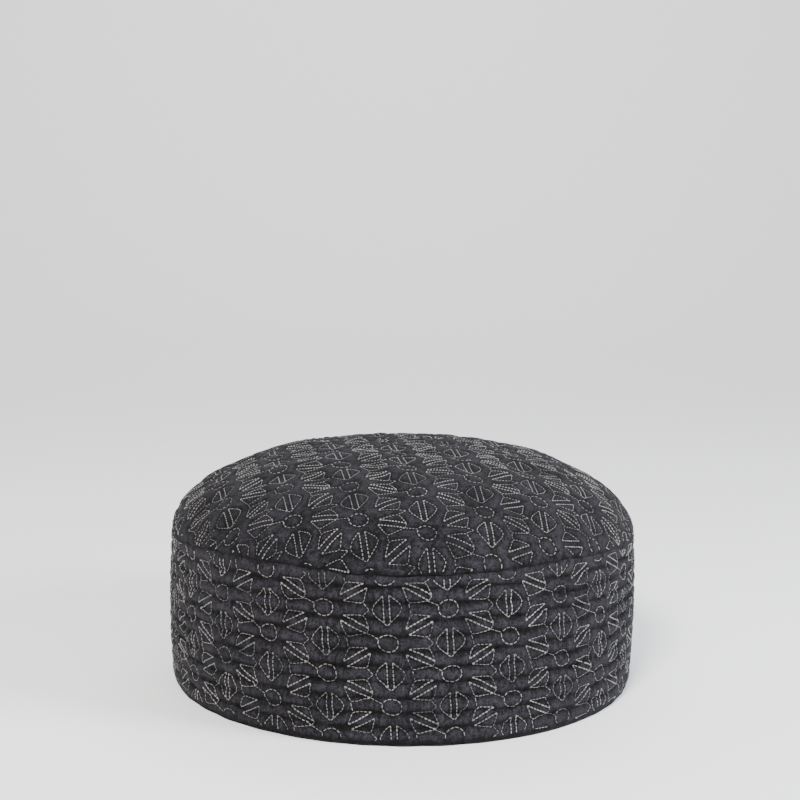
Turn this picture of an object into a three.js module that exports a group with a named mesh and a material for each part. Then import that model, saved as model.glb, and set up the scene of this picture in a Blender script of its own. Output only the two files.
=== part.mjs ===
// A kufi: a round brimless cap with a quilted side band and a soft flat crown.
// Millimetres, +Z up. The origin is the centre of the rim, on the plane that the cap stands on.
import * as THREE from 'three';

// Outline of the cap, measured on the outside of the cloth.
const rimRadius = 97.5;
const bellyRadius = 99.0;
const seamRadius = 97.9;
const seamHeight = 64.0;
const totalHeight = 98.4;

// The side band: padded ribs, one above the other, stitched down between them.
// A lower fullness makes the ribs rounder and the grooves between them narrower.
const ribCount = 11;
const ribDepth = 1.25;
const ribFullness = 0.6;
const bandThickness = 4.4;
const bandEdgeRound = 0.9;

// The crown: a curve between a straight wall and a flat top.
const crownSideExponent = 2.47;
const crownTopExponent = 1.63;
const crownThickness = 2.6;

// The fold at the rim and the cloth inside.
const bindingHeight = 1.1;
const bindingThickness = 5.6;
const bindingRound = 0.4;
const liningThickness = 1.0;

// Cloth layers that touch keep this gap.
const layerGap = 0.3;

// How finely each curve is cut into facets.
const segmentsRound = 48;
const stepsPerRib = 4;
const bandInnerSteps = 6;
const crownSteps = 17;
const crownInnerSteps = 11;

const bandBottom = bindingHeight + layerGap;
const bandTop = seamHeight - layerGap / 2;
const crownBottom = seamHeight + layerGap / 2;

function cloth(name, color, roughness) {
  return new THREE.MeshStandardMaterial({ name, color, roughness, metalness: 0 });
}

const crownCloth = cloth('crown_cloth', 0x353034, 0.9);
const bandCloth = cloth('band_cloth', 0x322d31, 0.9);
const bindingCloth = cloth('binding_cloth', 0x2a2629, 0.85);
const liningCloth = cloth('lining_cloth', 0x151416, 0.95);

// Outer radius of the side at a height: a parabola through rim, belly and seam.
function sideRadius(height) {
  const t = height / seamHeight;
  const rim = rimRadius * (1 - t) * (1 - 2 * t);
  const belly = bellyRadius * 4 * t * (1 - t);
  const seam = seamRadius * t * (2 * t - 1);
  return rim + belly + seam;
}

// A point of the crown's outline, moved inwards by inset: t runs from 0 at the seam to 1 at the top.
function crownPoint(t, inset) {
  const angle = t * Math.PI / 2;
  const radius = (seamRadius - inset) * Math.cos(angle) ** (2 / crownSideExponent);
  const rise = (totalHeight - inset - seamHeight) * Math.sin(angle) ** (2 / crownTopExponent);
  return new THREE.Vector2(t === 1 ? 0 : radius, seamHeight + rise);
}

// Turns a closed outline of radius and height round the Z axis.
// Outlines run up the outside of a wall and down its inside.
function revolve(name, outline, material) {
  const geometry = new THREE.LatheGeometry(outline, segmentsRound);
  geometry.rotateX(Math.PI / 2);
  const mesh = new THREE.Mesh(geometry, material);
  mesh.name = name;
  return mesh;
}

// The quilted band: each rib swells out between two stitched grooves, over a plain inner face.
function makeSideBand() {
  const outline = [];
  const steps = ribCount * stepsPerRib;
  for (let i = 0; i <= steps; i += 1) {
    const height = bandBottom + (bandTop - bandBottom) * i / steps;
    const groove = ribDepth * (1 - Math.abs(Math.sin(Math.PI * i / stepsPerRib)) ** ribFullness);
    const turnIn = i === 0 || i === steps ? bandEdgeRound : 0;
    outline.push(new THREE.Vector2(sideRadius(height) - groove - turnIn, height));
  }
  for (let i = bandInnerSteps; i >= 0; i -= 1) {
    const height = bandBottom + (bandTop - bandBottom) * i / bandInnerSteps;
    outline.push(new THREE.Vector2(sideRadius(height) - bandThickness, height));
  }
  outline.push(outline[0].clone());
  return revolve('side_band', outline, bandCloth);
}

// The crown: a shell that runs from the seam over the shoulder to the middle of the top.
function makeCrownTop() {
  const outline = [new THREE.Vector2(seamRadius - bandEdgeRound, crownBottom)];
  for (let i = 1; i <= crownSteps; i += 1) {
    outline.push(crownPoint(i / crownSteps, 0));
  }
  for (let i = crownInnerSteps; i >= 1; i -= 1) {
    outline.push(crownPoint(i / crownInnerSteps, crownThickness));
  }
  outline.push(new THREE.Vector2(seamRadius - crownThickness, crownBottom));
  outline.push(outline[0].clone());
  return revolve('crown_top', outline, crownCloth);
}

// The fold at the rim: flat below, where the cap stands, and rounded at its two lower edges.
function makeRimBinding() {
  const outer = sideRadius(0) - layerGap;
  const inner = outer - bindingThickness;
  const arcMiddle = bindingRound * (1 - Math.SQRT1_2);
  const outline = [
    new THREE.Vector2(outer - bindingRound, 0),
    new THREE.Vector2(outer - arcMiddle, arcMiddle),
    new THREE.Vector2(outer, bindingRound),
    new THREE.Vector2(outer, bindingHeight),
    new THREE.Vector2(inner, bindingHeight),
    new THREE.Vector2(inner, bindingRound),
    new THREE.Vector2(inner + arcMiddle, arcMiddle),
    new THREE.Vector2(inner + bindingRound, 0),
    new THREE.Vector2(outer - bindingRound, 0),
  ];
  return revolve('rim_binding', outline, bindingCloth);
}

// The lining: one thin shell that backs the band and the crown from rim to top.
function makeLining() {
  const outer = [];
  const inner = [];
  const bandInset = bandThickness + layerGap;
  for (let i = 0; i < bandInnerSteps; i += 1) {
    const height = bandBottom + (bandTop - bandBottom) * i / bandInnerSteps;
    outer.push(new THREE.Vector2(sideRadius(height) - bandInset, height));
    inner.push(new THREE.Vector2(sideRadius(height) - bandInset - liningThickness, height));
  }
  for (let i = 1; i <= crownInnerSteps; i += 1) {
    outer.push(crownPoint(i / crownInnerSteps, bandInset));
    inner.push(crownPoint(i / crownInnerSteps, bandInset + liningThickness));
  }
  const outline = [...outer, ...inner.reverse(), outer[0].clone()];
  return revolve('lining', outline, liningCloth);
}

const kufi = new THREE.Group();
kufi.name = 'kufi';
kufi.add(makeCrownTop(), makeSideBand(), makeRimBinding(), makeLining());

export default kufi;
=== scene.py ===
# A quilted and embroidered kufi in dark brown, standing on its rim on a pale studio floor.
# Metres, +Z up. Angles run round the cap from the side that the camera looks at (-Y) towards +X.
import bpy
import numpy as np
from mathutils import Matrix, Vector


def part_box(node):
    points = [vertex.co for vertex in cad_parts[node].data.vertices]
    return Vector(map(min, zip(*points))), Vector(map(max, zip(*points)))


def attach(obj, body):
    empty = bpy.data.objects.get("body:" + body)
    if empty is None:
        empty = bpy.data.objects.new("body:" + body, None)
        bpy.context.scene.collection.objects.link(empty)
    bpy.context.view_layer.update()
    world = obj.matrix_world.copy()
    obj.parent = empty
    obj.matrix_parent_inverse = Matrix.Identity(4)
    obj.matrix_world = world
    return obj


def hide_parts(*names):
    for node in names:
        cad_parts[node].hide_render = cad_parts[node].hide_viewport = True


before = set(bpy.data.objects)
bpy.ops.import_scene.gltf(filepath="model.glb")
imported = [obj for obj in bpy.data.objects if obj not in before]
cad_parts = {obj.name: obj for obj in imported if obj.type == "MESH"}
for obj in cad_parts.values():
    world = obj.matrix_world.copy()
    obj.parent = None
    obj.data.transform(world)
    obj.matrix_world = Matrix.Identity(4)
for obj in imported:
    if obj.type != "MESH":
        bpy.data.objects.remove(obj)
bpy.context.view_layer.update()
print("frame loaded")

mm = 0.001
fullTurn = 2 * np.pi
clearance = 0.03 * mm             # between two pieces of cloth where they are sewn together

bandLow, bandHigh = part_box("side_band")
crownLow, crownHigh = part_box("crown_top")
bindingLow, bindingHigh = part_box("rim_binding")
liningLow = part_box("lining")[0]

cap = {
    "rimRadius": 97.5 * mm,       # outside of the cloth, at the rim
    "bellyRadius": 99.0 * mm,     # half way up the band
    "seamRadius": 97.9 * mm,      # where the band meets the crown
    "seamHeight": (bandHigh.z + crownLow.z) / 2,
    "totalHeight": crownHigh.z,
    "sideExponent": 2.47,         # how square the shoulder is
    "topExponent": 1.63,          # how flat the top is
}


# Soft irregularity: a sum of cosine waves, whole numbers of them round the cap so that it closes.
def makeWaves(seed, count, roundLow, roundHigh, alongReach):
    rng = np.random.default_rng(seed)
    return {
        "round": rng.integers(roundLow, roundHigh + 1, count),
        "along": rng.uniform(-alongReach, alongReach, count),
        "phase": rng.uniform(0, fullTurn, count),
    }


def ripple(waves, angle, along):
    turn = angle[..., None] * waves["round"] + along[..., None] * waves["along"] + waves["phase"]
    return np.cos(turn).sum(-1) / np.sqrt(len(waves["phase"]) / 2)


# Radius of the side at a height: a parabola through rim, belly and seam.
def sideRadius(height):
    t = height / cap["seamHeight"]
    rim = cap["rimRadius"] * (1 - t) * (1 - 2 * t)
    belly = cap["bellyRadius"] * 4 * t * (1 - t)
    return rim + belly + cap["seamRadius"] * t * (2 * t - 1)


# Even steps round the cap, and every pair of such a step and a place along the cloth, as two grids.
def roundSteps(columns):
    return np.arange(columns) / columns * fullTurn


def everyPair(angle, along):
    return np.meshgrid(angle, along, indexing="ij")


# Distance walked along a line of points, from its coordinates.
def walkedAlong(*coordinates):
    return np.concatenate([[0], np.cumsum(np.linalg.norm(np.diff(coordinates), axis=0))])


# The crown's outline from top to seam, as radius, height and distance from the top along the cloth.
# Radius follows a power of the cosine and height a power of the sine, moved inwards by inset.
def crownOutline(inset, steps=4000):
    turn = np.linspace(np.pi / 2, 0, steps)
    radius = (cap["seamRadius"] - inset) * np.clip(np.cos(turn), 0, 1) ** (2 / cap["sideExponent"])
    rise = cap["totalHeight"] - inset - cap["seamHeight"]
    height = cap["seamHeight"] + rise * np.sin(turn) ** (2 / cap["topExponent"])
    radius[0] = 0
    return {"radius": radius, "height": height, "fromTop": walkedAlong(radius, height)}


def readOutline(outline, fromTop):
    return [np.interp(fromTop, outline["fromTop"], outline[key]) for key in ("radius", "height")]


# How far the seam hangs below its level line: five slow waves round the cap and some small ones.
seam = {"drop": 0.7 * mm, "slowWave": 1.0 * mm, "slowCount": 5, "slowPhase": 0.14, "smallWave": 0.15 * mm}
seamWaves = makeWaves(10, 10, 9, 40, 0)


def seamDrop(angle):
    slow = seam["slowWave"] * np.cos(seam["slowCount"] * angle - seam["slowPhase"])
    return seam["drop"] + slow + seam["smallWave"] * ripple(seamWaves, angle, 0 * angle)


def aroundAxis(angle, radius, height):
    return np.stack([radius * np.sin(angle), -radius * np.cos(angle), height + 0 * angle], -1)


# A mesh from a grid of points [round, along], closed round the cap.
# The along side closes on itself, or ends in a pole at each end where poles is true.
def gridPiece(name, points, uv, poles=False):
    nRound, nAlong = points.shape[:2]
    i = np.arange(nRound)[:, None]
    nextRound = (i + 1) % nRound
    if poles:
        inner = points[:, 1:-1]
        nInner = nAlong - 2
        verts = np.concatenate([inner.reshape(-1, 3), points[:1, 0], points[:1, -1]])
        startPole, endPole = nRound * nInner, nRound * nInner + 1
        k = np.arange(nInner - 1)[None, :]
        quads = np.stack([i * nInner + k, nextRound * nInner + k,
                          nextRound * nInner + k + 1, i * nInner + k + 1], -1).reshape(-1, 4)
        first = i[:, 0] * nInner
        firstNext = nextRound[:, 0] * nInner
        startFan = np.stack([np.full(nRound, startPole), firstNext, first], -1)
        endFan = np.stack([first + nInner - 1, firstNext + nInner - 1, np.full(nRound, endPole)], -1)
        tris = np.concatenate([startFan, endFan])
    else:
        verts = points.reshape(-1, 3)
        k = np.arange(nAlong)[None, :]
        nextAlong = (k + 1) % nAlong
        quads = np.stack([i * nAlong + k, nextRound * nAlong + k,
                          nextRound * nAlong + nextAlong, i * nAlong + nextAlong], -1).reshape(-1, 4)
        tris = np.zeros((0, 3), int)
    faceUv = gridUv(uv, quads, tris, nRound, nAlong, poles)
    return meshPiece(name, verts, quads, tris, faceUv)


# Each corner's place in the cloth, in millimetres: round the cap and along the outline.
# The last column of faces runs on past the full turn instead of back to zero.
def gridUv(uv, quads, tris, nRound, nAlong, poles):
    across, along = uv
    step = across[1] - across[0]
    rows = nAlong - 2 if poles else nAlong
    shift = 1 if poles else 0
    columnOf = quads // rows
    rowOf = quads % rows
    wrapped = (columnOf == 0) & (columnOf.max(1, keepdims=True) == nRound - 1)
    u = across[columnOf] + wrapped * nRound * step
    v = along[rowOf + shift]
    if not poles:
        closing = (rowOf == 0) & (rowOf.max(1, keepdims=True) == rows - 1)
        v = v + closing * (along[-1] + along[1] - along[0])
    flat = [np.stack([u, v], -1).reshape(-1, 2)]
    if len(tris):
        atPole = tris >= nRound * rows
        column = np.where(atPole, 0, tris // rows)
        u = across[column]
        wrapped = (column == 0) & ~atPole & (column.max(1, keepdims=True) == nRound - 1)
        u = u + wrapped * nRound * step
        middle = (u * ~atPole).sum(1, keepdims=True) / 2
        u = np.where(atPole, middle, u)
        v = np.where(atPole, along[0] * (tris == nRound * rows) + along[-1] * (tris != nRound * rows),
                     along[np.where(atPole, 0, tris % rows) + shift])
        flat.append(np.stack([u, v], -1).reshape(-1, 2))
    return np.concatenate(flat)


# Painted shade: how dark each point of a piece is painted, in its folds and close to its stitches, from 0
# to 1.
def storePaintedShade(piece, hollow):
    shade = piece.data.attributes.new("hollow", "FLOAT", "POINT")
    shade.data.foreach_set("value", np.clip(hollow, 0, 1.4).ravel().astype(np.float32))


def meshPiece(name, verts, quads, tris, faceUv=None):
    mesh = bpy.data.meshes.new(name)
    nLoops = quads.size + tris.size
    mesh.vertices.add(len(verts))
    mesh.loops.add(nLoops)
    mesh.polygons.add(len(quads) + len(tris))
    mesh.vertices.foreach_set("co", np.ascontiguousarray(verts, np.float32).ravel())
    corners = np.concatenate([quads.ravel(), tris.ravel()])
    mesh.loops.foreach_set("vertex_index", corners.astype(np.int32))
    starts = np.concatenate([np.arange(len(quads)) * 4, quads.size + np.arange(len(tris)) * 3])
    mesh.polygons.foreach_set("loop_start", starts.astype(np.int32))
    mesh.update(calc_edges=True)
    mesh.validate()
    mesh.polygons.foreach_set("use_smooth", np.ones(len(mesh.polygons), bool))
    if faceUv is not None:
        layer = mesh.uv_layers.new(name="cloth")
        layer.data.foreach_set("uv", faceUv.astype(np.float32).ravel())
    piece = bpy.data.objects.new(name, mesh)
    bpy.context.scene.collection.objects.link(piece)
    return piece


# The embroidery, charted in millimetres on the flat cloth. A lattice of rings, and on each of its
# three kinds of edge a leaf: two lines along the edge with an angled outline on either side.
motif = {
    "columns": 27,                # rings round the band
    "rowStep": (1.64, -23.6),     # from a ring to the ring below it
    "origin": (17.0, 50.7),       # one ring, round from the front and up from the floor
    "ringMiddle": (-0.3, 0.0),
    "ringHalf": (3.62, 3.03),
    "ringStart": 160,             # degrees
    "ringTurn": 352,
    "ringFullness": 1.0,          # how thick the thread is on each kind of line
    "outlineFullness": 0.88,
    "linkFullness": 0.8,
    "tip": 0.8,                   # where the two lines of the leaf that points down meet
    "ringPitch": 1.85,            # length of a stitch and the gap after it, on a ring
    "bandPitch": 1.45,            # and on a leaf
    "crownPitch": 1.25,
    "bandPlaces": np.array([0.02, 0.22, 0.78, 0.98]),     # the four places along a stitch
    "crownPlaces": np.array([0.05, 0.27, 0.73, 0.95]),
    "drawPitch": 1.5,             # how closely the cloth is drawn in along a line
    "drawPlaces": np.array([0, 0.3, 0.7, 1]),
    "drawReach": 0.95,            # how far from a line the cloth is drawn in with it
}
# start and end: along the edge from its middle. shift and gap: the two lines. The corners are the
# outline's, along and out to each side, rounded by bend. fullness: of the thread of the two lines.
leafTable = [
    {"edge": "down", "start": -5.1, "end": 4.7, "shift": -0.2, "gap": 1.1, "leftAlong": -0.3,
     "leftOut": 6.4, "rightAlong": -0.1, "rightOut": 6.4, "bend": 0.38, "fullness": 1.2},
    {"edge": "rising", "start": -5.1, "end": 4.8, "shift": 0.4, "gap": 1.17, "leftAlong": -1.05,
     "leftOut": 5.2, "rightAlong": 1.05, "rightOut": 5.1, "bend": 0.20, "fullness": 1.45},
    {"edge": "falling", "start": -6.0, "end": 4.7, "shift": 0.15, "gap": 1.10, "leftAlong": 0.7,
     "leftOut": 4.7, "rightAlong": -1.2, "rightOut": 5.3, "bend": 0.20, "fullness": 1.45},
]
circumference = fullTurn * cap["bellyRadius"] / mm
columnStep = np.array([circumference / motif["columns"], -motif["rowStep"][1] / 2 / motif["columns"]])
rowStep = np.array(motif["rowStep"])
bandEdges = {"down": rowStep, "rising": columnStep - rowStep / 2, "falling": columnStep + rowStep / 2}

# The same cloth on the crown, turned and eased a little: where one ring lies, and the two steps
# from it that match the band's. Millimetres from the middle of the top.
crownOrigin = np.array([9.5, -93.6])
crownEdges = {"down": np.array([3.9, -21.0]), "rising": np.array([21.9, 14.9])}
crownEdges["falling"] = crownEdges["down"] + crownEdges["rising"]


# A place on a leaf, along its edge from the middle and out to the left of the way it runs.
def leafPoint(edges, row, along, out):
    edge = edges[row["edge"]]
    unit = edge / np.linalg.norm(edge)
    return edge / 2 + along * unit + out * np.array([-unit[1], unit[0]])


# A corner cut off by bend, so that the thread goes round it in three points.
def bentLine(first, corner, last, bend):
    middle = corner + bend / 4 * (first + last - 2 * corner)
    return [first, corner + bend * (first - corner), middle, corner + bend * (last - corner), last]


# Where one of a leaf's two lines starts or ends, on its left (1) or right (-1).
def lineEnd(edges, row, end, side):
    return leafPoint(edges, row, row[end], row["shift"] + side * row["gap"])


# The corner of a leaf's outline on its left or right.
def leafCorner(edges, row, name):
    out = row[name + "Out"] if name == "left" else -row[name + "Out"]
    return leafPoint(edges, row, row[name + "Along"], out)


# Each line comes with how full its thread is: the two inner lines are sewn twice.
def leafLines(edges, row):
    lines = []
    for side, name in ((1, "left"), (-1, "right")):
        first, last = (lineEnd(edges, row, end, side) for end in ("start", "end"))
        lines.append((row["fullness"], [first, last]))
        outline = bentLine(first, leafCorner(edges, row, name), last, row["bend"])
        lines.append((motif["outlineFullness"], outline))
    return lines


# The threads of one cell, as lines of points: ring, three leaves and the links between them.
def motifLines(edges):
    down, rising, falling = leafTable
    turn = np.radians(motif["ringStart"] + np.linspace(0, motif["ringTurn"], 60))
    ring = np.stack([np.cos(turn), np.sin(turn)], -1) * motif["ringHalf"] + motif["ringMiddle"]
    lines = [(motif["ringFullness"], ring)]
    for row in leafTable:
        lines += leafLines(edges, row)
    downTip = leafPoint(edges, down, down["end"] + motif["tip"], down["shift"])
    downCorner = leafCorner(edges, down, "right")
    fallingEnds = [lineEnd(edges, falling, "end", side) for side in (1, -1)]
    lines.append((motif["ringFullness"], [lineEnd(edges, down, "end", -1), downTip,
                                          lineEnd(edges, down, "end", 1)]))
    links = [
        fallingEnds,
        [downCorner, leafCorner(edges, falling, "left") - edges["rising"]],
        [downCorner, leafCorner(edges, rising, "right") - edges["rising"]],
        [leafCorner(edges, falling, "right"), leafCorner(edges, rising, "left") + edges["down"]],
        [fallingEnds[1] - edges["falling"], ring[0]],
    ]
    lines += [(motif["linkFullness"], link) for link in links]
    return [(fullness, np.array(line)) for fullness, line in lines]


# Cuts each line into stitches. A stitch is four places along it: both ends and two near the ends.
def motifStitches(edges, pitch, places):
    found, fullnesses = [], []
    for index, (fullness, line) in enumerate(motifLines(edges)):
        step = pitch if index else motif["ringPitch"]
        walked = walkedAlong(*line.T)
        count = max(1, int(round(walked[-1] / step)))
        at = (np.arange(count)[:, None] + places) / count * walked[-1]
        found.append(np.stack([np.interp(at, walked, line[:, axis]) for axis in (0, 1)], -1))
        fullnesses.append(np.full(count, fullness))
    return np.concatenate(found), np.concatenate(fullnesses)


# How near the lines of stitches are, for a grid of places in one cell: 1 on a line, 0 well off it.
# A cell's two sides are the rising and the down edge. The nearest of nine cells' stitches counts.
def makeDrawnIn(edges, steps=112):
    stitches = motifStitches(edges, motif["drawPitch"], motif["drawPlaces"])[0].reshape(-1, 2)
    stitches = np.concatenate([stitches + i * edges["rising"] + j * edges["down"]
                               for i in (-1, 0, 1) for j in (-1, 0, 1)])
    share = np.arange(steps) / steps
    grid = np.zeros((steps, steps))
    for index in range(steps):
        row = share[index] * edges["rising"] + share[:, None] * edges["down"]
        apart = np.linalg.norm(row[:, None] - stitches, axis=-1).min(1)
        grid[index] = np.exp(-(apart / motif["drawReach"]) ** 2)
    return grid


# The same grid spread out, so that it says how thickly a place is sewn: a product in the frequency
# domain with a bell curve, which keeps the cell repeating. Scaled to run from 0 to 1.
def spreadOut(grid, reach):
    turns = np.fft.fftfreq(len(grid)) * fullTurn * reach
    bell = np.exp(-(turns[:, None] ** 2 + turns[None, :] ** 2) / 2)
    spread = np.fft.ifft2(np.fft.fft2(grid) * bell).real
    return (spread - spread.min()) / (spread.max() - spread.min())


bandDrawnIn = makeDrawnIn(bandEdges)
crownDrawnIn = makeDrawnIn(crownEdges)
sewnThickly = spreadOut(bandDrawnIn, reach=9)


# Reads such a grid at places given in cells, rising and down, with the four nearest values mixed.
def readCell(grid, rising, down):
    steps = len(grid)
    i, j = rising * steps, down * steps
    i0, j0 = np.floor(i).astype(int), np.floor(j).astype(int)
    fi, fj = i - i0, j - j0
    low = grid[i0 % steps, j0 % steps] * (1 - fj) + grid[i0 % steps, (j0 + 1) % steps] * fj
    high = grid[(i0 + 1) % steps, j0 % steps] * (1 - fj) + grid[(i0 + 1) % steps, (j0 + 1) % steps] * fj
    return low * (1 - fi) + high * fi


# Turns a place on the flat cloth into cells, given the middle of a ring and the cell's edges.
def inCells(x, y, origin, edges):
    rising, down = edges["rising"], edges["down"]
    area = rising[0] * down[1] - rising[1] * down[0]
    x, y = x - origin[0], y - origin[1]
    return (x * down[1] - y * down[0]) / area, (rising[0] * y - rising[1] * x) / area


# The quilted band
band = {
    "ribs": 11,
    "ribDepth": 1.1 * mm,         # how far the grooves lie below the ribs
    "ribFullness": 0.72,          # lower is rounder, with narrower grooves
    "drop": 0.5 * mm,             # the inner grooves lie this much below an even spacing
    "wall": 4.4 * mm,
    "edgeTurn": 0.9 * mm,         # the cloth turns in at both edges
    "wander": 0.26 * mm,          # how far a groove strays from a level line
    "swell": 0.24,                # how much a groove's depth varies round the cap
    "stiffened": 0.40,            # how much shallower it is where the cloth is thickly sewn
    "seamReach": 1.5,             # how many ribs down the seam's wave is felt
    "footFullness": 0.55,         # the lowest rib stays this full down to the rim
    "seamShare": 0.36,            # how deep the fold at the crown seam is, of a groove's depth
    "crease": 0.24 * mm,          # small creases that run from a groove across the rib
    "dimple": 0.22 * mm,          # where the quilting thread pulls the cloth in
    "drawn": 0.50 * mm,           # how deep the embroidery is drawn into the cloth
    # The next three set painted shade: how it grows into a groove, how much more falls on a rib's lower
    # half, and how dark it is round a stitch.
    "foldPower": 1.05,
    "undersideShade": 0.5,             # how much more painted shade a rib has on its lower half than on its upper half
    "sewnShade": 0.30,            # how much painted shade darkens the cloth close to a stitch
    "stitchesRound": 192,
    "columns": 768,
    "stepsPerRib": 8,
    "innerSteps": 8,
    "innerLength": 8 * mm,        # cloth in each of those steps
}
band["pitch"] = (bandHigh.z - bandLow.z) / band["ribs"]
band["ribLength"] = 1.12 * band["pitch"]      # cloth over a rib
wanderWaves = makeWaves(11, 14, 2, 40, 0.9)
swellWaves = makeWaves(12, 16, 4, 60, 2.0)
creaseRng = np.random.default_rng(13)
creaseRound = creaseRng.integers(60, 190, 9)
creasePhase = creaseRng.uniform(0, fullTurn, (band["ribs"] + 1, len(creaseRound)))
dimplePhase = creaseRng.uniform(0, fullTurn, band["ribs"] + 1)


# Value at a groove of its own creases, round the cap.
def grooveCrease(groove, angle):
    turn = angle[..., None] * creaseRound + creasePhase[groove]
    return np.cos(turn).sum(-1) / np.sqrt(len(creaseRound) / 2)


# How near a place along a groove is to a stitch of the quilting thread, from 0 to 1.
def grooveDimple(groove, angle):
    return 0.5 + 0.5 * np.cos(band["stitchesRound"] * angle + dimplePhase[groove])


# Where a place on the ribs lies in the embroidery's cell.
def bandCells(angle, rib):
    flatHeight = (bandLow.z + band["pitch"] * rib - band["drop"]) / mm
    return inCells(angle * cap["bellyRadius"] / mm, flatHeight, motif["origin"], bandEdges)


# How far below the crest of its rib a place lies, as a share of the full depth of a groove.
# Each rib is a sine arch to a low power, and the lowest one stays full down to the rim.
def ribHollow(angle, rib):
    x = rib - np.clip(np.floor(rib), 0, band["ribs"] - 1)
    hollow = 1 - np.abs(np.sin(np.pi * x)) ** band["ribFullness"]
    uneven = 1 + band["swell"] * ripple(swellWaves, angle, rib)
    uneven = uneven - band["stiffened"] * readCell(sewnThickly, *bandCells(angle, rib))
    uneven = uneven * np.where(rib > band["ribs"] - 0.5, band["seamShare"], 1)
    return hollow * np.where(rib < 0.5, 1 - band["footFullness"], uneven)


# The band's outer surface, by angle and by place on the ribs: 0 at the rim, 11 at the crown seam.
# Creases and needle dimples fade away from each groove.
def bandSurface(angle, rib):
    below = np.clip(np.floor(rib), 0, band["ribs"] - 1).astype(int)
    x = rib - below
    held = np.sqrt(np.sin(np.pi * np.clip(rib / band["ribs"], 0, 1)))
    stray = band["wander"] * ripple(wanderWaves, angle, rib) - band["drop"]
    lowered = np.clip((rib - band["ribs"] + band["seamReach"]) / band["seamReach"], 0, 1) ** 2
    height = bandLow.z + band["pitch"] * rib + held * stray - lowered * seamDrop(angle)
    nearLow, nearHigh = (1 - x) ** 3, x ** 3
    crease = nearLow * grooveCrease(below, angle) + nearHigh * grooveCrease(below + 1, angle)
    pulledLow = nearLow ** 2 * grooveDimple(below, angle)
    pulledHigh = nearHigh ** 2 * grooveDimple(below + 1, angle)
    relief = -band["ribDepth"] * ribHollow(angle, rib) - band["crease"] * crease * held
    relief = relief - band["dimple"] * (pulledLow + pulledHigh) * held
    relief = relief - band["drawn"] * readCell(bandDrawnIn, *bandCells(angle, rib)) * held
    return aroundAxis(angle, sideRadius(height) + relief, height)


def makeBand():
    angle = roundSteps(band["columns"])
    within = 0.5 - 0.5 * np.cos(np.pi * np.arange(band["stepsPerRib"]) / band["stepsPerRib"])
    rib = np.concatenate([(np.arange(band["ribs"])[:, None] + within).ravel(), [band["ribs"]]])
    everyAngle, everyRib = everyPair(angle, rib)
    outer = bandSurface(everyAngle, everyRib)
    foot = bindingHigh.z + clearance
    outer[:, 0, 2] = foot
    innerHeight = np.linspace(bandHigh.z, foot, band["innerSteps"] + 1)
    inner = aroundAxis(angle[:, None], sideRadius(innerHeight) - band["wall"], innerHeight)
    feltNearSeam = (innerHeight / bandHigh.z) ** 8
    inner[..., 2] -= seamDrop(angle)[:, None] * feltNearSeam
    turnedIn = aroundAxis(angle[:, None], band["edgeTurn"], 0.0)
    points = np.concatenate([outer, outer[:, -1:] - turnedIn, inner, outer[:, :1] - turnedIn], 1)
    ribLength = band["ribLength"] / mm
    inside = rib[-1] * ribLength + 1 + np.arange(band["innerSteps"] + 3) * band["innerLength"] / mm
    along = np.concatenate([rib * ribLength, inside])
    piece = gridPiece("band", points, (angle * cap["bellyRadius"] / mm, along))
    # Painted shade for the colour: darker in the grooves, more on each rib's lower half, and round the
    # stitches.
    hollow = np.zeros(points.shape[:2])
    fold = np.clip(ribHollow(everyAngle, everyRib), 0, None) ** band["foldPower"]
    undersideShade = 1 + band["undersideShade"] * np.cos(np.pi * (rib - np.floor(rib)))
    sewn = readCell(bandDrawnIn, *bandCells(everyAngle, everyRib))
    hollow[:, :len(rib)] = fold * undersideShade + band["sewnShade"] * sewn
    storePaintedShade(piece, hollow)
    return piece


# The crown panel
crown = {
    "wall": 2.6 * mm,
    "edgeTurn": 0.36 * mm,        # the cloth rolls in at the seam
    "rollReach": 3.0 * mm,        # within this distance of the seam
    "dropReach": 14 * mm,
    "bulge": 0.22 * mm,           # the edge of the soft top stands out a little over the band
    "bulgeAt": 4 * mm,            # this far from the seam
    "bulgeReach": 4 * mm,
    "dent": 0.50 * mm,            # a soft hollow above that edge
    "dentAt": 6.4 * mm,
    "dentReach": 1.6 * mm,
    "dentSwell": 0.3,             # how much its depth varies round the cap
    "plump": 0.35 * mm,           # how much the top stands above its plain outline
    "calmAtSeam": 10 * mm,        # the crumpling fades within this distance of the seam
    "calmAtTop": 12 * mm,
    "drawn": 0.55 * mm,           # how deep the embroidery is drawn in
    "drawnFrom": 3 * mm,          # and how far from the seam it is that deep
    "gather": 0.16 * mm,          # small gathers where the flat cloth is eased into the seam
    "gatherReach": 9 * mm,
    "slip": 1.9 * mm,             # how far the pattern has moved outwards at the seam
    "slipReach": 14 * mm,
    "sewnShade": 0.62,            # how much painted shade darkens the cloth close to a stitch
    "seamShade": 0.26,            # and in the seam
    "crumpleShade": 0.25,         # and a millimetre down in the crumpled cloth
    "roundLength": 60 * mm,       # cloth in a radian, for the weave
    "columns": 600,
    "rows": 122,
    "innerRows": 26,
}
crownShape = crownOutline(0)
crown["reach"] = crownShape["fromTop"][-1]
gatherWaves = makeWaves(22, 14, 30, 110, 20)
dentWaves = makeWaves(23, 8, 2, 14, 20)


# The crown's outline at given distances from the top: radius, height, and the outward normal's two
# parts, which are the outline's own slope turned by a quarter turn.
def onOutline(fromTop):
    radius, height, walked = crownShape["radius"], crownShape["height"], crownShape["fromTop"]
    slopeOut, slopeDown = np.gradient(radius, walked), np.gradient(height, walked)
    length = np.hypot(slopeOut, slopeDown)
    rows = (radius, height, -slopeDown / length, slopeOut / length)
    return [np.interp(fromTop, walked, row) for row in rows]


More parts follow.
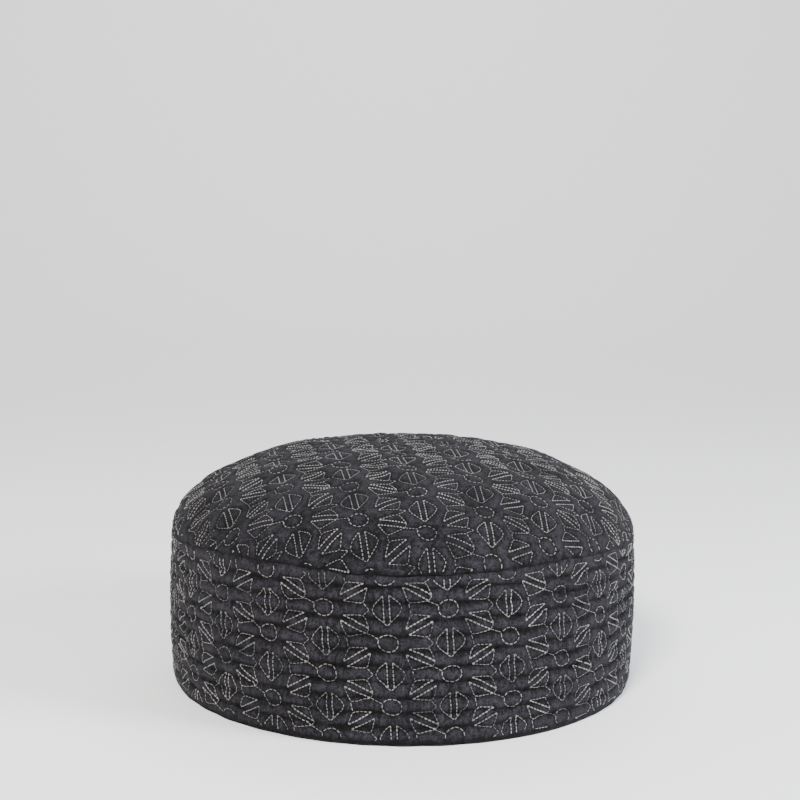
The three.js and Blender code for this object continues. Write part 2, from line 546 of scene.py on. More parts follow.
# The cloth of the crown is cut with a little to spare. It is pinned at the seam and left to crumple,
# held loosely to its form by the padding under it, on a coarse net at ten times its size.
slack = {
    "columns": 120,
    "rings": 36,
    "frames": 30,
    "scale": 10,
    "spare": 0.025,               # how much wider the cloth is than its place
    "held": 0.3,                  # how firmly the padding holds it
    "uneven": 0.3 * mm,           # the unevenness that it starts from: how high,
    "waveCount": 60,              # in how many waves,
    "waveLow": 18 * mm,           # and how long they are
    "waveHigh": 45 * mm,
    "mostMove": 1.3 * mm,
    "kept": 0.75,                 # the share of the movement that is kept
    "gravity": 0.2,
    "cloth": {"quality": 5, "mass": 0.3, "tension_stiffness": 40, "compression_stiffness": 40,
              "shear_stiffness": 5, "bending_stiffness": 3, "pin_stiffness": 1,
              "uniform_pressure_force": 1},
}


# Where the net's points start: the outline, moved in and out by waves in all directions.
def slackNet():
    angle = roundSteps(slack["columns"])
    fromTop = np.linspace(crown["reach"] / slack["rings"], crown["reach"], slack["rings"])
    radius, height, normalOut, normalUp = [row[:, None] for row in onOutline(fromTop)]
    points = aroundAxis(angle, radius + 0 * angle, height)
    normals = aroundAxis(angle, normalOut + 0 * angle, normalUp)
    rng = np.random.default_rng(24)
    count = slack["waveCount"]
    waves = rng.normal(0, 1, (count, 3))
    waves = waves / np.linalg.norm(waves, axis=1, keepdims=True) * fullTurn
    waves = waves / rng.uniform(slack["waveLow"], slack["waveHigh"], (count, 1))
    uneven = np.cos(points @ waves.T + rng.uniform(0, fullTurn, count)).sum(-1) / np.sqrt(count / 2)
    uneven[-1] = 0
    return points, normals, points + normals * uneven[..., None] * slack["uneven"]


# The net as a mesh: a fan round the middle, and rings of quads.
def slackMesh(start):
    columns, rings = slack["columns"], slack["rings"]
    i = np.arange(columns)
    j = (i + 1) % columns
    fan = np.stack([0 * i, 1 + i, 1 + j], -1)
    step = (1 + np.arange(rings - 1) * columns)[:, None, None]
    quads = (np.stack([i, i + columns, j + columns, j], -1) + step).reshape(-1, 4)
    verts = np.concatenate([[[0, 0, cap["totalHeight"]]], start.reshape(-1, 3)]) * slack["scale"]
    return meshPiece("slack_net", verts, quads, fan)


# Runs the cloth and returns how far each ring and column moved along the normal, capped.
def crumple():
    points, normals, start = slackNet()
    net = slackMesh(start)
    total = len(net.data.vertices)
    pinned = net.vertex_groups.new(name="pinned")
    pinned.add(list(range(total)), slack["held"], "REPLACE")
    pinned.add(list(range(total - slack["columns"], total)), 1, "REPLACE")
    modifier = net.modifiers.new("cloth", "CLOTH")
    modifier.point_cache.frame_start = 1
    modifier.point_cache.frame_end = slack["frames"]
    modifier.collision_settings.use_collision = False
    cloth = modifier.settings
    for key, value in slack["cloth"].items():
        setattr(cloth, key, value)
    cloth.vertex_group_mass = "pinned"
    cloth.use_pressure = True
    cloth.shrink_min = -slack["spare"]
    cloth.effector_weights.gravity = slack["gravity"]
    for frameNumber in range(1, slack["frames"] + 1):
        bpy.context.scene.frame_set(frameNumber)
    solved = net.evaluated_get(bpy.context.evaluated_depsgraph_get()).to_mesh()
    settled = np.empty(total * 3, np.float32)
    solved.vertices.foreach_get("co", settled)
    bpy.context.scene.frame_set(1)
    netMesh = net.data
    bpy.data.objects.remove(net)
    bpy.data.meshes.remove(netMesh)
    moved = settled.reshape(-1, 3)[1:].reshape(points.shape) / slack["scale"] - points
    outwards = (moved * normals).sum(-1)
    outwards = outwards - outwards.mean(1, keepdims=True)
    return slack["mostMove"] * np.tanh(slack["kept"] * outwards / slack["mostMove"])


crumpled = crumple()
print("crown cloth settled")


# Reads the crumpled net between its points: a cubic B-spline both ways, so that it stays smooth.
def readCrumpled(angle, fromTop):
    x = angle / fullTurn * slack["columns"]
    y = np.clip(fromTop / crown["reach"] * slack["rings"] - 1, 0, slack["rings"] - 1)
    x0, y0 = np.floor(x).astype(int), np.floor(y).astype(int)

    def weights(t):
        return [(1 - t) ** 3 / 6, (3 * t ** 3 - 6 * t ** 2 + 4) / 6,
                (3 * t ** 2 - 3 * t ** 3 + 3 * t + 1) / 6, t ** 3 / 6]

    total = 0
    for i, acrossWeight in enumerate(weights(x - x0)):
        for j, alongWeight in enumerate(weights(y - y0)):
            ring = np.clip(y0 + j - 1, 0, slack["rings"] - 1)
            total = total + acrossWeight * alongWeight * crumpled[ring, (x0 + i - 1) % slack["columns"]]
    return total


# How far the cloth has slipped outwards near the seam, where it is pulled over the edge.
def crownSlip(fromTop):
    return crown["slip"] * np.clip(1 - (crown["reach"] - fromTop) / crown["slipReach"], 0, 1.2)


# Where a place on the crown lies in the embroidery's cell.
def crownCells(angle, fromTop):
    unslipped = (fromTop - crownSlip(fromTop)) / mm
    x, y = unslipped * np.sin(angle), -unslipped * np.cos(angle)
    return inCells(x, y, crownOrigin, crownEdges)


# How far the cloth hangs below its outline, because a place near the seam follows the seam's drop.
def crownDrop(angle, toSeam):
    return seamDrop(angle) * (1 - np.clip(toSeam / crown["dropReach"], 0, 1)) ** 2


# How far the cloth has turned in at the seam, from 0 to 1: a sine arch to the power of the ribs'.
def seamHollow(fromTop):
    near = np.clip((crown["reach"] - fromTop) / crown["rollReach"], 0, 1)
    return 1 - np.sin(np.pi / 2 * near) ** band["ribFullness"]


# A bell curve of distance from the seam.
def bell(toSeam, middle, reach):
    return np.exp(-((toSeam - middle) / reach) ** 2)


# The crown's outer surface, by angle and distance from the top along the cloth: its outline, moved
# along its normal by the crumpling, the embroidery and the soft bulge and dent at its edge.
def crownSurface(angle, fromTop):
    radius, height, normalOut, normalUp = onOutline(fromTop)
    toSeam = crown["reach"] - fromTop
    free = np.clip(toSeam / crown["calmAtSeam"], 0, 1) * np.clip(fromTop / crown["calmAtTop"], 0, 1)
    offset = crown["plump"] * np.sin(np.pi * np.clip(toSeam / crown["reach"], 0, 1))
    offset = offset + free * readCrumpled(angle, fromTop)
    offset = offset + crown["bulge"] * bell(toSeam, crown["bulgeAt"], crown["bulgeReach"])
    swell = 1 - crown["dentSwell"] + crown["dentSwell"] * ripple(dentWaves, angle, fromTop)
    offset = offset - crown["dent"] * swell * bell(toSeam, crown["dentAt"], crown["dentReach"])
    gathered = np.exp(-toSeam / crown["gatherReach"]) * ripple(gatherWaves, angle, fromTop)
    sewn = readCell(crownDrawnIn, *crownCells(angle, fromTop))
    sewn = sewn * np.clip(toSeam / crown["drawnFrom"], 0, 1)
    offset = offset - crown["gather"] * gathered - crown["drawn"] * sewn
    out = radius + offset * normalOut - crown["edgeTurn"] * seamHollow(fromTop)
    return aroundAxis(angle, out, height + offset * normalUp - crownDrop(angle, toSeam))


def makeCrown():
    angle = roundSteps(crown["columns"])
    lowest = bandHigh.z + clearance
    inner = crownOutline(crown["wall"])
    fromTopIn = np.linspace(0, inner["fromTop"][-1], crown["innerRows"])
    innerPoints = aroundAxis(angle[:, None], *readOutline(inner, fromTopIn))
    innerPoints[:, -1, 2] = lowest
    innerPoints[..., 2] -= crownDrop(angle[:, None], fromTopIn[-1] - fromTopIn)
    fromTop = np.linspace(crown["reach"], 0, crown["rows"])
    everyAngle, everyPlace = everyPair(angle, fromTop)
    outerPoints = crownSurface(everyAngle, everyPlace)
    outerPoints[:, 0, 2] = lowest - seamDrop(angle)
    points = np.concatenate([innerPoints, outerPoints], 1)
    along = np.concatenate([fromTopIn, crown["reach"] * 2 - fromTop + crown["wall"]]) / mm
    piece = gridPiece("crown", points, (angle * crown["roundLength"] / mm, along), poles=True)
    # Painted shade for the colour: in the seam's fold and round the stitches, deeper in the crumpled
    # cloth's dips and less on its rises.
    sewn = readCell(crownDrawnIn, *crownCells(everyAngle, everyPlace))
    dark = crown["seamShade"] * seamHollow(fromTop) + crown["sewnShade"] * sewn
    dark = dark - crown["crumpleShade"] * readCrumpled(everyAngle, everyPlace) / mm
    hollow = np.concatenate([0 * innerPoints[..., 0], np.clip(dark, 0, 1)], 1)
    storePaintedShade(piece, np.append(hollow[:, 1:-1].ravel(), [0, 0]))
    return piece


# Rice-grain stitches on a surface: a fat thread that dips into the cloth at both ends.
# Each has a ring of sides near either end, lifted off the cloth, and a point at each end under it.
# A fuller thread is paler: a painted highlight, for the sheen of the lines that are sewn twice.
grain = {
    "width": 0.32 * mm,
    "height": 0.27 * mm,
    "sunk": 0.16 * mm,
    "sides": 4,
    "uneven": 0.12,               # how much the threads' sizes vary
    "darkest": -0.15,             # their tones
    "toneSpread": 1.05,
    "fullerHighlight": 0.7,
    "bandLift": 0.13 * mm,
    "crownLift": 0.19 * mm,       # at the seam
    "crownTopLift": 0.13 * mm,
    "dullLift": 0.10 * mm,        # of the quilting's and the lining's thread
    "clearOfRim": 0.15,           # no stitch of the band is nearer to the rim than this, in ribs,
    "clearOfSeam": 0.1,           # or to the crown seam
    "clearOnCrown": 0.4 * mm,
}


def stitchPiece(name, centre, normal, fullness, lift, seed):
    rng = np.random.default_rng(seed)
    count, sides = len(centre), grain["sides"]
    size = (fullness * rng.uniform(1 - grain["uneven"], 1 + grain["uneven"], count))[:, None, None]
    along = centre[:, 3] - centre[:, 0]
    along = along / np.linalg.norm(along, axis=-1, keepdims=True)
    across = np.cross(normal[:, 1:3], along[:, None])
    across = across / np.linalg.norm(across, axis=-1, keepdims=True)
    middle = centre[:, 1:3] + normal[:, 1:3] * lift
    turn = roundSteps(sides) + np.pi / 2
    ringOut = (across[:, :, None] * np.cos(turn)[:, None] * grain["width"] / 2
               + normal[:, 1:3, None] * np.sin(turn)[:, None] * grain["height"] / 2) * size[..., None]
    rings = middle[:, :, None] + ringOut
    tips = centre[:, [0, 3]] - normal[:, [0, 3]] * grain["sunk"]
    verts = np.concatenate([rings.reshape(count, 2 * sides, 3), tips], 1)
    i = np.arange(sides)
    j = (i + 1) % sides
    quad = np.stack([i, j, j + sides, i + sides], -1)
    startTip = np.stack([np.full(sides, 2 * sides), j, i], -1)
    endTip = np.stack([i + sides, j + sides, np.full(sides, 2 * sides + 1)], -1)
    step = (np.arange(count) * (2 * sides + 2))[:, None, None]
    quads = (quad + step).reshape(-1, 4)[:, ::-1]
    tris = (np.concatenate([startTip, endTip]) + step).reshape(-1, 3)[:, ::-1]
    piece = meshPiece(name, verts.reshape(-1, 3), quads, tris)
    tone = piece.data.attributes.new("threadToneAndHighlight", "FLOAT", "POINT")
    shade = grain["toneSpread"] * rng.uniform(0, 1, count) + grain["darkest"]
    # Painted highlight: a fuller thread is made paler, on top of its random tone.
    shade = shade + grain["fullerHighlight"] * (fullness - 1)
    tone.data.foreach_set("value", np.repeat(shade, 2 * sides + 2).astype(np.float32))
    return piece


# Outward unit normal of a surface of two parameters, by central differences.
def surfaceNormal(surface, first, second, firstStep, secondStep, inside):
    byFirst = surface(first + firstStep, second) - surface(first - firstStep, second)
    bySecond = surface(first, second + secondStep) - surface(first, second - secondStep)
    normal = np.cross(byFirst, bySecond)
    normal = normal / np.linalg.norm(normal, axis=-1, keepdims=True)
    point = surface(first, second)
    facing = ((point - inside) * normal).sum(-1, keepdims=True)
    return point, normal * np.sign(facing)


def makeBandStitches():
    cell, cellFullness = motifStitches(bandEdges, motif["bandPitch"], motif["bandPlaces"])
    columnGrid, rowGrid = np.meshgrid(np.arange(motif["columns"]), np.arange(-2, 4))
    half = (columnGrid % 2) * 0.5
    start = (np.array(motif["origin"]) + columnGrid[..., None] * columnStep
             + (rowGrid + half)[..., None] * rowStep).reshape(-1, 1, 1, 2)
    flat = (cell + start).reshape(-1, 4, 2)
    fullness = np.tile(cellFullness, len(start))
    rib = (flat[..., 1] * mm - bandLow.z + band["drop"]) / band["pitch"]
    inside = (rib.min(1) > grain["clearOfRim"]) & (rib.max(1) < band["ribs"] - grain["clearOfSeam"])
    flat, rib = flat[inside], rib[inside]
    angle = flat[..., 0] * mm / cap["bellyRadius"]
    point, normal = surfaceNormal(bandSurface, angle, rib, 0.003, 0.05, np.zeros(3))
    return stitchPiece("band_embroidery", point, normal, fullness[inside], grain["bandLift"], seed=31)


def makeCrownStitches():
    cell, cellFullness = motifStitches(crownEdges, motif["crownPitch"], motif["crownPlaces"])
    i, j = np.meshgrid(np.arange(-12, 13), np.arange(-14, 15))
    start = crownOrigin + i.reshape(-1, 1) * crownEdges["rising"] + j.reshape(-1, 1) * crownEdges["down"]
    flat = (cell + start[:, None, None]).reshape(-1, 4, 2) * mm
    fromTop = np.hypot(flat[..., 0], flat[..., 1])
    slipped = fromTop + crownSlip(fromTop + crownSlip(fromTop))
    inside = slipped.max(1) < crown["reach"] - grain["clearOnCrown"]
    fullness = np.tile(cellFullness, len(start))[inside]
    flat = (flat * (slipped / fromTop)[..., None])[inside]

    def onCrown(x, y):
        return crownSurface(np.arctan2(x, -y), np.hypot(x, y))

    centre = np.array([0, 0, cap["seamHeight"] * 0.5])
    point, normal = surfaceNormal(onCrown, flat[..., 0], flat[..., 1], 0.2 * mm, 0.2 * mm, centre)
    share = (slipped[inside].max(1) / crown["reach"])[:, None, None]
    lift = grain["crownTopLift"] + share * (grain["crownLift"] - grain["crownTopLift"])
    return stitchPiece("crown_embroidery", point, normal, fullness, lift, seed=32)


# Dark quilting thread along the bottom of each groove, dipping in at the cloth's dimples.
quilting = {"places": np.array([0.06, 0.25, 0.75, 0.94]), "fullness": 0.6}


def makeQuilting():
    groove = np.arange(1, band["ribs"])[:, None, None]
    turn = (np.arange(band["stitchesRound"])[:, None] + quilting["places"]) * fullTurn
    angle = (turn - dimplePhase[1:-1, None, None]) / band["stitchesRound"]
    point = bandSurface(angle, groove + 0 * angle).reshape(-1, 4, 3)
    outward = aroundAxis(angle, 1.0, 0.0).reshape(-1, 4, 3)
    fullness = np.full(len(point), quilting["fullness"])
    return stitchPiece("quilting_thread", point, outward, fullness, grain["dullLift"], seed=33)


# The fold at the rim
binding = {
    "width": 5.1 * mm,
    "tuck": 0.5 * mm,             # how far its outer side stands back
    "round": 0.4 * mm,
    "waviness": 0.10 * mm,
    "columns": 384,
    "arcSteps": 5,
}
bindingWaves = makeWaves(41, 10, 3, 50, 0.5)


# A closed outline round the fold: flat below, rounded at the two lower edges.
def makeBinding():
    outer = (bindingHigh.x - bindingLow.x) / 2 - binding["tuck"]
    inner = outer - binding["width"]
    r, top = binding["round"], bindingHigh.z
    turn = np.linspace(0, np.pi / 2, binding["arcSteps"])
    across = np.linspace(outer - 2 * r, inner + 2 * r, binding["arcSteps"])
    radius = np.concatenate([outer - r + r * np.sin(turn), [outer, outer - r], across,
                             [inner + r, inner], inner + r - r * np.cos(turn), across[::-1]])
    height = np.concatenate([r - r * np.cos(turn), [top - 0.2 * r, top], top + 0 * across,
                             [top, top - 0.2 * r], r - r * np.sin(turn), 0 * across])
    angle = roundSteps(binding["columns"])
    wave = binding["waviness"] * ripple(bindingWaves, angle, 0 * angle)
    points = aroundAxis(angle[:, None], radius + wave[:, None], height)
    return gridPiece("binding", points, (angle * outer / mm, walkedAlong(radius, height) / mm))


# The lining, with its hem, its top seam and its joint at the back sewn in a dull thread
lining = {
    "inset": 4.7 * mm,
    "wall": 1.0 * mm,
    "wrinkle": 0.32 * mm,
    "columns": 288,
    "bandRows": 34,
    "crownRows": 36,
    "calmAtTop": 15 * mm,         # the wrinkles fade within this distance of the middle of the top
    "calmAtRim": 6 * mm,
    "roundLength": 80 * mm,       # cloth in a radian, for the weave
    "hemHeight": 6 * mm,
    "hemStitches": 190,
    "topSeam": 1.5 * mm,          # how far under the crown seam its own seam is
    "jointStitches": 17,
    "jointGap": 2.4 * mm,         # between the two rows of the joint
    "jointMargin": 1 * mm,        # above the hem, and twice that under the crown seam
    "places": np.array([0.12, 0.3, 0.7, 0.88]),
    "fullness": 1.3,
}
liningWaves = makeWaves(51, 18, 4, 46, 140)
liningTop = crownOutline(lining["inset"] + lining["wall"])["fromTop"][-1]
liningEnd = liningTop + cap["seamHeight"] - liningLow.z


# Wrinkles of the lining, always towards the head, calm at the middle of the top and at the rim.
def liningFold(angle, walked):
    calm = np.clip(walked / lining["calmAtTop"], 0, 1)
    calm = calm * np.clip((liningEnd - walked) / lining["calmAtRim"], 0, 1)
    return lining["wrinkle"] * calm * (ripple(liningWaves, angle, walked) - 1.2)


# A shell under band and crown: down the inside from the middle, round the lower edge, up the outside.
def makeLining():
    angle = roundSteps(lining["columns"])

    def wallPoints(inset, wrinkled):
        outline = crownOutline(inset)
        fromTop = np.linspace(0, outline["fromTop"][-1], lining["crownRows"])
        radius, height = readOutline(outline, fromTop)
        bandHeight = np.linspace(cap["seamHeight"], liningLow.z, lining["bandRows"])[1:]
        radius = np.concatenate([radius, sideRadius(bandHeight) - inset])
        height = np.concatenate([height, bandHeight])
        walked = np.concatenate([fromTop, fromTop[-1] + cap["seamHeight"] - bandHeight])
        fold = wrinkled * liningFold(*everyPair(angle, walked))
        out = np.maximum(radius + fold * (radius > 1 * mm), 0)
        return aroundAxis(angle[:, None], out, height), walked

    inner, innerWalked = wallPoints(lining["inset"] + lining["wall"], 1)
    outer, outerWalked = wallPoints(lining["inset"], 0)
    points = np.concatenate([inner, outer[:, ::-1]], 1)
    backUp = innerWalked[-1] + lining["wall"] + outerWalked[-1] - outerWalked[::-1]
    walked = np.concatenate([innerWalked, backUp]) / mm
    return gridPiece("inner_lining", points, (angle * lining["roundLength"] / mm, walked), poles=True)


# The lining's inner face on the band, by angle and height.
def liningInside(angle, height):
    fold = liningFold(angle, liningTop + cap["seamHeight"] - height)
    return aroundAxis(angle, sideRadius(height) - lining["inset"] - lining["wall"] + fold, height)


# A row of stitches as shares of its length.
def stitchShares(count):
    return (np.arange(count)[:, None] + lining["places"]) / count


# The hem and the top seam run round the cap, and the two rows of the joint up its back.
def makeLiningStitches():
    turn = stitchShares(lining["hemStitches"]) * fullTurn
    rows = [(turn, height + 0 * turn)
            for height in (lining["hemHeight"], cap["seamHeight"] - lining["topSeam"])]
    jointLow = lining["hemHeight"] + lining["jointMargin"]
    jointHigh = cap["seamHeight"] - 2 * lining["jointMargin"]
    rise = jointLow + stitchShares(lining["jointStitches"]) * (jointHigh - jointLow)
    for side in (-0.5, 0.5):
        rows.append((np.pi + side * lining["jointGap"] / cap["bellyRadius"] + 0 * rise, rise))
    angle, height = (np.concatenate([row[part] for row in rows]) for part in (0, 1))
    point = liningInside(angle, height)
    inwards = aroundAxis(angle, -1.0, 0.0)
    fullness = np.full(len(point), lining["fullness"])
    return stitchPiece("lining_stitches", point, inwards, fullness, grain["dullLift"], seed=34)


bandPiece = makeBand()
print("band made")
crownPiece = makeCrown()
print("crown made")
bandStitches = makeBandStitches()
crownStitches = makeCrownStitches()
quiltingThread = makeQuilting()
print("stitches made")
bindingPiece = makeBinding()
liningPiece = makeLining()
liningStitches = makeLiningStitches()
print("rim and lining made")


# Materials, with small helpers that add a node and wire its inputs, so that each finish stays short.
def newMaterial(name):
    material = bpy.data.materials.new(name)
    material.use_nodes = True
    return material, material.node_tree, material.node_tree.nodes["Principled BSDF"]


def mathNode(tree, operation, *values):
    node = tree.nodes.new("ShaderNodeMath")
    node.operation = operation
    for socket, value in zip(node.inputs, values):
        if isinstance(value, (int, float)):
            socket.default_value = value
        else:
            tree.links.new(value, socket)
    return node.outputs[0]


def scaled(tree, value, factor, rest=0.0):
    return mathNode(tree, "MULTIPLY_ADD", value, factor, rest)


def noiseNode(tree, vector, scale, detail=3.0, rough=0.6):
    node = tree.nodes.new("ShaderNodeTexNoise")
    node.inputs["Scale"].default_value = scale
    node.inputs["Detail"].default_value = detail
    node.inputs["Roughness"].default_value = rough
    tree.links.new(vector, node.inputs["Vector"])
    return node.outputs["Fac"]


# What the cloth pieces and stitchPiece have stored on each point: painted shade on the cloth, and each
# stitch's tone with its painted highlight.
def storedValue(tree, name):
    node = tree.nodes.new("ShaderNodeAttribute")
    node.attribute_name = name
    return node.outputs["Fac"]


def addBump(tree, shader, height, distance, strength):
    bump = tree.nodes.new("ShaderNodeBump")
    bump.inputs["Distance"].default_value = distance
    bump.inputs["Strength"].default_value = strength
    tree.links.new(height, bump.inputs["Height"])
    tree.links.new(bump.outputs["Normal"], shader.inputs["Normal"])


# The base colour runs from values["dark"] to values["light"] between two shades.
def addColour(tree, shader, shade, values, darkAt, lightAt):
    ramp = tree.nodes.new("ShaderNodeValToRGB")
    dark, light = ramp.color_ramp.elements
    dark.position = darkAt
    dark.color = (*values["dark"], 1)
    light.position = lightAt
    light.color = (*values["light"], 1)
    tree.links.new(shade, ramp.inputs["Fac"])
    tree.links.new(ramp.outputs["Color"], shader.inputs["Base Color"])


# How fine the cloth's noises are: three in the cap's metres, two on the cloth's map in millimetres.
clothNoise = {"lint": 1500, "tuft": 420, "cloud": 28, "stray": 0.7, "streak": 0.95}


# Plain woven cloth: threads cross at weavePitch millimetres, as a product of two sines on the cloth's own
# map, blurred by noise so that no two threads are alike, with lint, slow shade variation and short
# upright streaks where the cloth is gathered by its quilting. The streaks are bumps with painted shade,
# and the stored value adds painted shade in folds, seams and round stitches.
def clothMaterial(name, values):
    material, tree, shader = newMaterial(name)
    uvNode = tree.nodes.new("ShaderNodeUVMap")
    uvNode.uv_map = "cloth"
    onCloth = uvNode.outputs["UV"]
    place = tree.nodes.new("ShaderNodeTexCoord").outputs["Object"]
    split = tree.nodes.new("ShaderNodeSeparateXYZ")
    tree.links.new(onCloth, split.inputs[0])
    stray = noiseNode(tree, onCloth, clothNoise["stray"])
    wave = []
    for out, strayShare in ((split.outputs[0], 0.5), (split.outputs[1], -0.5)):
        turn = scaled(tree, scaled(tree, stray, strayShare, out), fullTurn / values["weavePitch"])
        wave.append(mathNode(tree, "SINE", turn))
    weave = mathNode(tree, "MULTIPLY", wave[0], wave[1])
    lint = noiseNode(tree, place, clothNoise["lint"], 4.0, 0.7)
    tuft = noiseNode(tree, place, clothNoise["tuft"])
    cloud = noiseNode(tree, place, clothNoise["cloud"], 4.0, 0.55)
    drawnOut = tree.nodes.new("ShaderNodeMapping")
    drawnOut.inputs["Scale"].default_value = (1, 0.25, 1)
    tree.links.new(onCloth, drawnOut.inputs["Vector"])
    streak = noiseNode(tree, drawnOut.outputs["Vector"], clothNoise["streak"], 2.0)

    relief = scaled(tree, weave, 0.5)
    for key, noise in (("streak", streak), ("pucker", tuft), ("lint", lint)):
        relief = scaled(tree, noise, values[key], relief)
    addBump(tree, shader, relief, values["weaveDepth"], values["bumpStrength"])

    # The colour: weave, lint, tufts and clouds vary the cloth's tone; the upright streaks add painted
    # shade of small creases.
    shades = {"lintShade": lint, "streakShade": streak, "patchShade": tuft, "cloudShade": cloud}
    shade = scaled(tree, weave, values["weaveShade"], 0.5 - sum(values[key] for key in shades) / 2)
    for key, noise in shades.items():
        shade = scaled(tree, noise, values[key], shade)
    # Painted shade from the stored hollow value: darker in folds, in the seam and close to the stitches.
    shade = scaled(tree, storedValue(tree, "hollow"), -values["foldShade"], shade)
    addColour(tree, shader, shade, values, 0.1, 0.9)
    shader.inputs["Roughness"].default_value = values["roughness"]
    shader.inputs["Specular IOR Level"].default_value = values["specular"]
    shader.inputs["Sheen Weight"].default_value = values["sheen"]
    shader.inputs["Sheen Roughness"].default_value = 0.45
    shader.inputs["Sheen Tint"].default_value = (*values["sheenTint"], 1)
    return material


# foldShade sets the painted shade in folds and round stitches, streakShade the painted shade of the
# upright creases.
shellCloth = {
    "weavePitch": 0.72, "weaveDepth": 0.14 * mm, "bumpStrength": 0.7, "lint": 0.7,
    "weaveShade": 0.22, "lintShade": 2.3, "cloudShade": 0.35, "foldShade": 0.9,
    "patchShade": 0.95, "pucker": 3.0, "streak": 3.0, "streakShade": 1.0,
    "dark": (0.0016, 0.0015, 0.0018), "light": (0.0286, 0.0259, 0.0320),
    "roughness": 0.88, "specular": 0.13, "sheen": 0.02, "sheenTint": (0.85, 0.82, 0.86),
}
# The crown's cloth is the band's cloth with a darker light end: painted shade over the whole crown.
shadedTopCloth = dict(shellCloth, light=(0.0226, 0.0205, 0.0252), lintShade=3.0, patchShade=1.5,
                streak=0.8, streakShade=0.2)
bindingCloth = dict(shellCloth, light=(0.018, 0.0165, 0.0185))
liningCloth = dict(shellCloth, weavePitch=0.5, weaveDepth=0.06 * mm, dark=(0.005, 0.0044, 0.0046),
                   light=(0.024, 0.021, 0.0215), lintShade=1.6, patchShade=0.6, streak=0.8,
                   streakShade=0.2, roughness=0.6, specular=0.3)


# What all threads share: two noises, and how the tone of a stitch and the slower noise mix.
threadNoise = {"patch": 75, "fibre": 5200, "fibreDepth": 0.05 * mm, "fibreStrength": 0.5,
               "patchShade": 2.3, "toneShade": 0.5, "darker": 0.94}


# Thread that shines a little, each stitch different.
def threadMaterial(name, values):
    material, tree, shader = newMaterial(name)
    place = tree.nodes.new("ShaderNodeTexCoord").outputs["Object"]
    tone = scaled(tree, storedValue(tree, "threadToneAndHighlight"), threadNoise["toneShade"], -threadNoise["darker"])
    patch = noiseNode(tree, place, threadNoise["patch"], 2.0)
    shade = scaled(tree, patch, threadNoise["patchShade"], tone)
    addColour(tree, shader, shade, values, 0, 1)
    fibre = noiseNode(tree, place, threadNoise["fibre"], 2.0)
    addBump(tree, shader, fibre, threadNoise["fibreDepth"], threadNoise["fibreStrength"])
    shader.inputs["Roughness"].default_value = values["roughness"]
    shader.inputs["Specular IOR Level"].default_value = values["specular"]
    return material


# Pale silver beige for the embroidery, a dull grey for the lining, and near black for the quilting.
paleThread = {"dark": (0.058, 0.057, 0.057), "light": (0.262, 0.251, 0.238),
              "roughness": 0.38, "specular": 0.6}
dullThread = {"dark": (0.025, 0.023, 0.022), "light": (0.075, 0.070, 0.066),
              "roughness": 0.5, "specular": 0.4}
darkThread = {"dark": (0.003, 0.0028, 0.0032), "light": (0.010, 0.0095, 0.011),
              "roughness": 0.6, "specular": 0.2}

shellMaterial = clothMaterial("dark brown cloth", shellCloth)
shadedTopMaterial = clothMaterial("dark brown crown cloth with painted shade", shadedTopCloth)
bindingMaterial = clothMaterial("rim cloth", bindingCloth)
liningMaterial = clothMaterial("lining cloth", liningCloth)
paleMaterial = threadMaterial("pale thread", paleThread)
darkMaterial = threadMaterial("dark thread", darkThread)
dullMaterial = threadMaterial("dull thread", dullThread)

dressing = [
    (bandPiece, shellMaterial, "band_cloth", ["side_band"]),
    (crownPiece, shadedTopMaterial, "crown_cloth", ["crown_top"]),
    (bindingPiece, bindingMaterial, "binding_cloth", ["rim_binding"]),
    (liningPiece, liningMaterial, "lining_cloth", ["lining"]),
    (bandStitches, paleMaterial, "band_cloth", []),
    (crownStitches, paleMaterial, "crown_cloth", []),
    (quiltingThread, darkMaterial, "band_cloth", []),
    (liningStitches, dullMaterial, "lining_cloth", []),
]
for piece, material, slotName, replaced in dressing:
    piece.data.materials.append(material)
    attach(piece, "root")
    if replaced:
        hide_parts(*replaced)

print("materials set")


# The studio: one pale floor that curves up all round into a backdrop.
studio = {
    "flat": [0, 0.6, 1.6],        # radii of its rings, before the bend
    "flatRadius": 2.6,
    "bend": 1.3,
    "columns": 96,
    "bendSteps": 16,
    "pale": (0.89, 0.883, 0.868),
    "roughness": 0.75,
    "air": (0.93, 0.95, 1.0),
    "airStrength": 0.74,
}


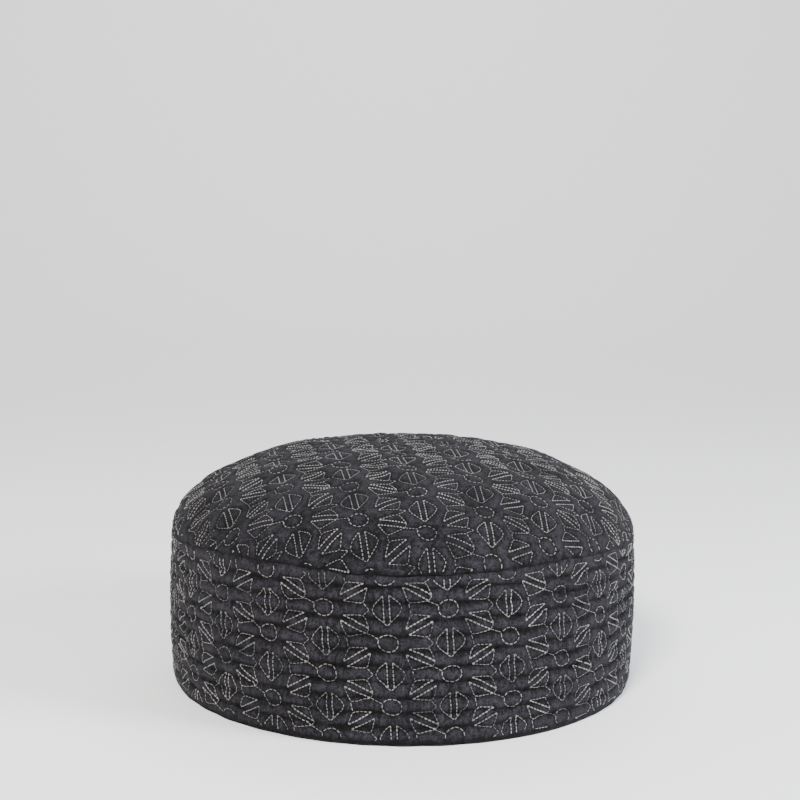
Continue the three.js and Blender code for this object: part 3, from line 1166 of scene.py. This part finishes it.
# Floor outline turned round the middle: flat, then a quarter circle upwards.
def makeFloor():
    turn = np.linspace(0, np.pi / 2, studio["bendSteps"])
    radius = np.concatenate([studio["flat"], studio["flatRadius"] + studio["bend"] * np.sin(turn)])
    height = np.concatenate([np.zeros(len(studio["flat"])), studio["bend"] * (1 - np.cos(turn))])
    points = aroundAxis(roundSteps(studio["columns"])[:, None], radius, height)
    i = np.arange(studio["columns"])[:, None] * len(radius)
    j = np.roll(i, -1, 0)
    k = np.arange(len(radius) - 1)
    quads = np.stack([i + k, i + k + 1, j + k + 1, j + k], -1).reshape(-1, 4)
    floor = meshPiece("floor", points.reshape(-1, 3), quads[:, ::-1], np.zeros((0, 3), int))
    material, tree, shader = newMaterial("pale floor")
    shader.inputs["Base Color"].default_value = (*studio["pale"], 1)
    shader.inputs["Roughness"].default_value = studio["roughness"]
    floor.data.materials.append(material)


lights = [
    {"name": "key", "at": (-0.36, -1.08, 1.02), "to": (0, 0, 0.06), "size": 0.35, "power": 41,
     "color": (1.0, 0.98, 0.97)},
    {"name": "side", "at": (1.10, -0.45, 0.60), "to": (0, 0, 0.06), "size": 0.4, "power": 29,
     "color": (0.86, 0.92, 1.0)},
    {"name": "backdrop", "at": (0, 2.1, 2.6), "to": (0, 3.0, 0), "size": 2.2, "power": 70,
     "color": (0.98, 0.99, 1.0)},
]


def addLights():
    for row in lights:
        data = bpy.data.lights.new(row["name"], "AREA")
        data.size = row["size"]
        data.energy = row["power"]
        data.color = row["color"]
        light = bpy.data.objects.new(row["name"], data)
        light.location = row["at"]
        aim = Vector(row["to"]) - light.location
        light.rotation_euler = aim.to_track_quat("-Z", "Y").to_euler()
        bpy.context.scene.collection.objects.link(light)
    world = bpy.data.worlds.new("studio air")
    world.use_nodes = True
    air = world.node_tree.nodes["Background"]
    air.inputs["Color"].default_value = (*studio["air"], 1)
    air.inputs["Strength"].default_value = studio["airStrength"]
    bpy.context.scene.world = world


# The camera stands where the photograph was taken from, found from the cap's outline in it.
view = {
    "distance": 0.5199,
    "height": 0.1639,
    "pitch": 5.317,               # angles in degrees
    "yaw": -0.195,
    "roll": 0.642,
    "focalPixels": 1221.7,
    "photoPixels": 800,
}


def addCamera():
    data = bpy.data.cameras.new("camera")
    data.sensor_width = 36
    data.lens = data.sensor_width * view["focalPixels"] / view["photoPixels"]
    camera = bpy.data.objects.new("camera", data)
    camera.location = (0, -view["distance"], view["height"])
    pitch, yaw, roll = (np.radians(view[key]) for key in ("pitch", "yaw", "roll"))
    turn = (Matrix.Rotation(-yaw, 3, "Z") @ Matrix.Rotation(np.pi / 2 - pitch, 3, "X")
            @ Matrix.Rotation(roll, 3, "Z"))
    camera.rotation_euler = turn.to_euler()
    bpy.context.scene.collection.objects.link(camera)
    bpy.context.scene.camera = camera


makeFloor()
addLights()
addCamera()
print("studio set")
